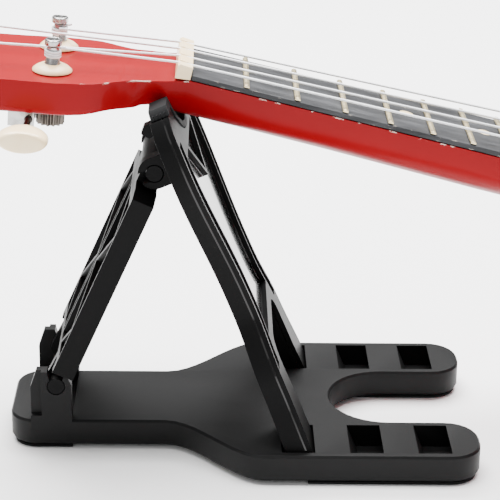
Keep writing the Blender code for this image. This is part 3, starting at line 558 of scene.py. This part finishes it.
class NECKSTAND_OT_board(bpy.types.Operator):
    """Finish the fretboard, frets, dots, nut, bridge and saddle"""
    bl_idname = "neckstand.board"
    bl_label = "Fretboard and bridge"

    def execute(self, context):
        settings = context.scene.neckstand_instrument
        board = dark_board(tuple(settings.board), tuple(settings.chip))
        cream = cream_plastic(tuple(settings.cream))
        wire_metal = plated_metal("fret_wire", (0.70, 0.60, 0.38), (0.42, 0.33, 0.18), 0.28)
        finish_node("fretboard", board, 0.0003)
        finish_node("bridge", board, 0.0010, segments=3)
        finish_node("nut", cream, 0.0002)
        finish_node("saddle", cream, 0.0004, segments=3)
        for number in range(1, 13):
            finish_node(f"fret_{number:02d}", wire_metal, 0.0002, smooth=50.0)
        axes, scale = board_axes()
        for number in DOT_FRETS:
            back, front = (scale * (1 - 2 ** (-n / 12)) for n in (number - 1, number))
            where = axes @ Matrix.Translation(((back + front) / 2, 0.0, -0.0002))
            radius = settings.dot
            lathe(f"position_dot_{number:02d}", [(0.0, 0.0), (radius, 0.0), (radius, 0.0003),
                                                 (radius - 0.0002, 0.00038), (0.0, 0.0004)],
                  where, cream, "instrument")
        hole = next(o for o in frame["record"]["physics"]["openings"] if o["name"] == "sound_hole")
        centre = (Vector(hole["box_m"][0]) + Vector(hole["box_m"][1])) / 2
        reach = (axes.inverted() @ centre).x
        where = axes @ Matrix.Translation((reach, 0.0, -SOUNDBOARD_DROP))
        for i, (inner, outer) in enumerate(HOLE_RINGS):
            lathe(f"sound_hole_ring_{i + 1}",
                  [(inner, -0.0002), (outer, -0.0002), (outer, 0.00008), (inner, 0.00008),
                   (inner, -0.0002)], where, cream, "instrument", steps=72)
        return {"FINISHED"}


class NECKSTAND_OT_strings(bpy.types.Operator):
    """Finish the strings, their windings and their knots at the bridge"""
    bl_idname = "neckstand.strings"
    bl_label = "Strings"

    def execute(self, context):
        settings = context.scene.neckstand_instrument
        radius = settings.string_radius
        nylon = clear_nylon()
        for number in range(1, 5):
            finish_node(f"string_{number}", nylon, smooth=60.0)
        for tag in TAGS:
            side = -1 if tag.startswith("near") else 1
            joint = JOINTS[f"post_turn_{tag}"]
            start = -side * math.pi / 2
            points = coil_points(joint["pos_m"], joint["axis"], POST_WAIST + radius,
                                 settings.turns, STRING_AT_POST,
                                 STRING_AT_POST - settings.turns * radius * 1.95, start)
            body = f"tuner_post_{tag}"
            wire(f"winding_{tag}", points, radius, nylon, body)
            axes = joint_axes(f"post_turn_{tag}")
            tail = [axes @ Vector(point) for point in STRING_TAIL]
            wire(f"string_tail_{tag}", tail, radius, nylon, body)
        axes, scale = board_axes()
        for number, across in enumerate(KNOT_PLACES, 1):
            centre = axes @ Vector((scale + KNOT_BEHIND, across, KNOT_HEIGHT))
            direction = axes.to_3x3() @ Vector((1.0, 0.0, 0.0))
            points = coil_points(centre, direction, radius * 1.9, 2.0, 0.0, radius * 4)
            wire(f"bridge_knot_{number}", points, radius * 0.85, nylon, "instrument")
        return {"FINISHED"}


class NECKSTAND_OT_tuners(bpy.types.Operator):
    """Finish the four open-geared tuners"""
    bl_idname = "neckstand.tuners"
    bl_label = "Tuners"

    def execute(self, context):
        settings = context.scene.neckstand_instrument
        cream = cream_plastic(tuple(settings.cream))
        nickel = plated_metal("nickel", (0.44, 0.435, 0.43), (0.26, 0.25, 0.245), 0.18)
        steel = plated_metal("gear_steel", (0.13, 0.112, 0.097), (0.05, 0.042, 0.035), 0.32)
        for tag in TAGS:
            finish_node(f"bushing_{tag}", cream, smooth=50.0)
            finish_node(f"button_{tag}", cream, subdivide=1)
            finish_node(f"post_{tag}", nickel, 0.0002, smooth=40.0)
            finish_node(f"gear_{tag}", steel, 0.00015, smooth=30.0)
            finish_node(f"frame_plate_{tag}", nickel, 0.0003)
            finish_node(f"worm_shaft_{tag}", steel, smooth=40.0)
            knob = JOINTS[f"knob_turn_{tag}"]
            thread = coil_points(knob["pos_m"], knob["axis"], THREAD_RADIUS, THREAD_TURNS,
                                 -THREAD_HALF, THREAD_HALF)
            wire(f"worm_thread_{tag}", thread, THREAD_WIRE, steel, f"tuner_knob_{tag}")
            axes = joint_axes(f"post_turn_{tag}")
            where = axes @ Matrix.Translation(SCREW_PLACE) @ Matrix.Rotation(math.pi, 4, "X")
            lathe(f"plate_screw_{tag}", SCREW_PROFILE, where, nickel, "instrument",
                  steps=20)
        return {"FINISHED"}


class NECKSTAND_OT_stage(bpy.types.Operator):
    """Add the floor, the soft light and the camera"""
    bl_idname = "neckstand.stage"
    bl_label = "Stage"

    def execute(self, context):
        settings = context.scene.neckstand_stage
        self.add_floor()
        self.add_lights(settings)
        self.add_camera(context, settings)
        return {"FINISHED"}

    def add_floor(self):
        """A plain pale floor."""
        mesh = bpy.data.meshes.new("floor")
        corners = ((-1, -1), (1, -1), (1, 1), (-1, 1))
        mesh.from_pydata([(x * FLOOR_REACH, y * FLOOR_REACH, 0.0) for x, y in corners],
                         [], [(0, 1, 2, 3)])
        paint = Paint("pale_floor", roughness=0.9, specular=0.1)
        paint.surface["Base Color"].default_value = (0.92, 0.92, 0.92, 1.0)
        mesh.materials.append(paint.material)
        floor = bpy.data.objects.new("floor", mesh)
        bpy.context.scene.collection.objects.link(floor)
        floor.location.z = -0.0001

    def add_lights(self, settings):
        """An overhead soft box, a weak front fill and a pale sky."""
        world = bpy.data.worlds.new("pale_sky")
        world.use_nodes = True
        sky = world.node_tree.nodes["Background"].inputs
        sky["Color"].default_value = (1.0, 1.0, 1.0, 1.0)
        sky["Strength"].default_value = settings.sky
        bpy.context.scene.world = world
        for name, power, size, place in (
                ("top_light", settings.top, 1.6, (-0.15, 0.45, 1.5)),
                ("front_light", settings.fill, 0.9, (-0.9, -1.2, 0.9))):
            lamp = bpy.data.lights.new(name, "AREA")
            lamp.energy = power
            lamp.size = size
            item = bpy.data.objects.new(name, lamp)
            bpy.context.scene.collection.objects.link(item)
            item.location = place
            aim = Vector((-0.1, 0.0, 0.07)) - Vector(place)
            item.rotation_euler = aim.to_track_quat("-Z", "Y").to_euler()

    def add_camera(self, context, settings):
        """A long lens looking down at the stand."""
        pin = Vector(JOINTS["strut_fold"]["pos_m"])
        camera = bpy.data.cameras.new("camera")
        camera.lens = settings.lens
        camera.sensor_width = 36.0
        camera.shift_x = settings.shift
        item = bpy.data.objects.new("camera", camera)
        context.scene.collection.objects.link(item)
        item.location = pin + Vector(settings.offset)
        item.rotation_euler = (math.pi / 2 - settings.tilt, 0.0, settings.turn)
        context.scene.camera = item


class NECKSTAND_PT_panel(bpy.types.Panel):
    """Sidebar list of the pieces"""
    bl_idname = "NECKSTAND_PT_panel"
    bl_label = "Neck Stand"
    bl_space_type = "VIEW_3D"
    bl_region_type = "UI"
    bl_category = "Neck Stand"

    def draw(self, context):
        for group in (context.scene.neckstand_stand, context.scene.neckstand_instrument,
                      context.scene.neckstand_stage):
            column = self.layout.column()
            for name in group.__annotations__:
                column.prop(group, name)
        for operator in OPERATORS:
            self.layout.operator(operator.bl_idname)


SETTINGS = {"neckstand_stand": StandSettings, "neckstand_instrument": InstrumentSettings,
            "neckstand_stage": StageSettings}
OPERATORS = (NECKSTAND_OT_plastic, NECKSTAND_OT_rubber, NECKSTAND_OT_neck, NECKSTAND_OT_board,
             NECKSTAND_OT_strings, NECKSTAND_OT_tuners, NECKSTAND_OT_stage)


def register():
    for kind in (*SETTINGS.values(), *OPERATORS, NECKSTAND_PT_panel):
        bpy.utils.register_class(kind)
    for name, kind in SETTINGS.items():
        setattr(bpy.types.Scene, name, PointerProperty(type=kind))


def unregister():
    for name in SETTINGS:
        delattr(bpy.types.Scene, name)
    for kind in reversed((*SETTINGS.values(), *OPERATORS, NECKSTAND_PT_panel)):
        bpy.utils.unregister_class(kind)


def main():
    register()
    bpy.ops.neckstand.plastic()
    bpy.ops.neckstand.rubber()
    bpy.ops.neckstand.neck()
    bpy.ops.neckstand.board()
    bpy.ops.neckstand.strings()
    bpy.ops.neckstand.tuners()
    bpy.ops.neckstand.stage()


if __name__ == "__main__":
    main()
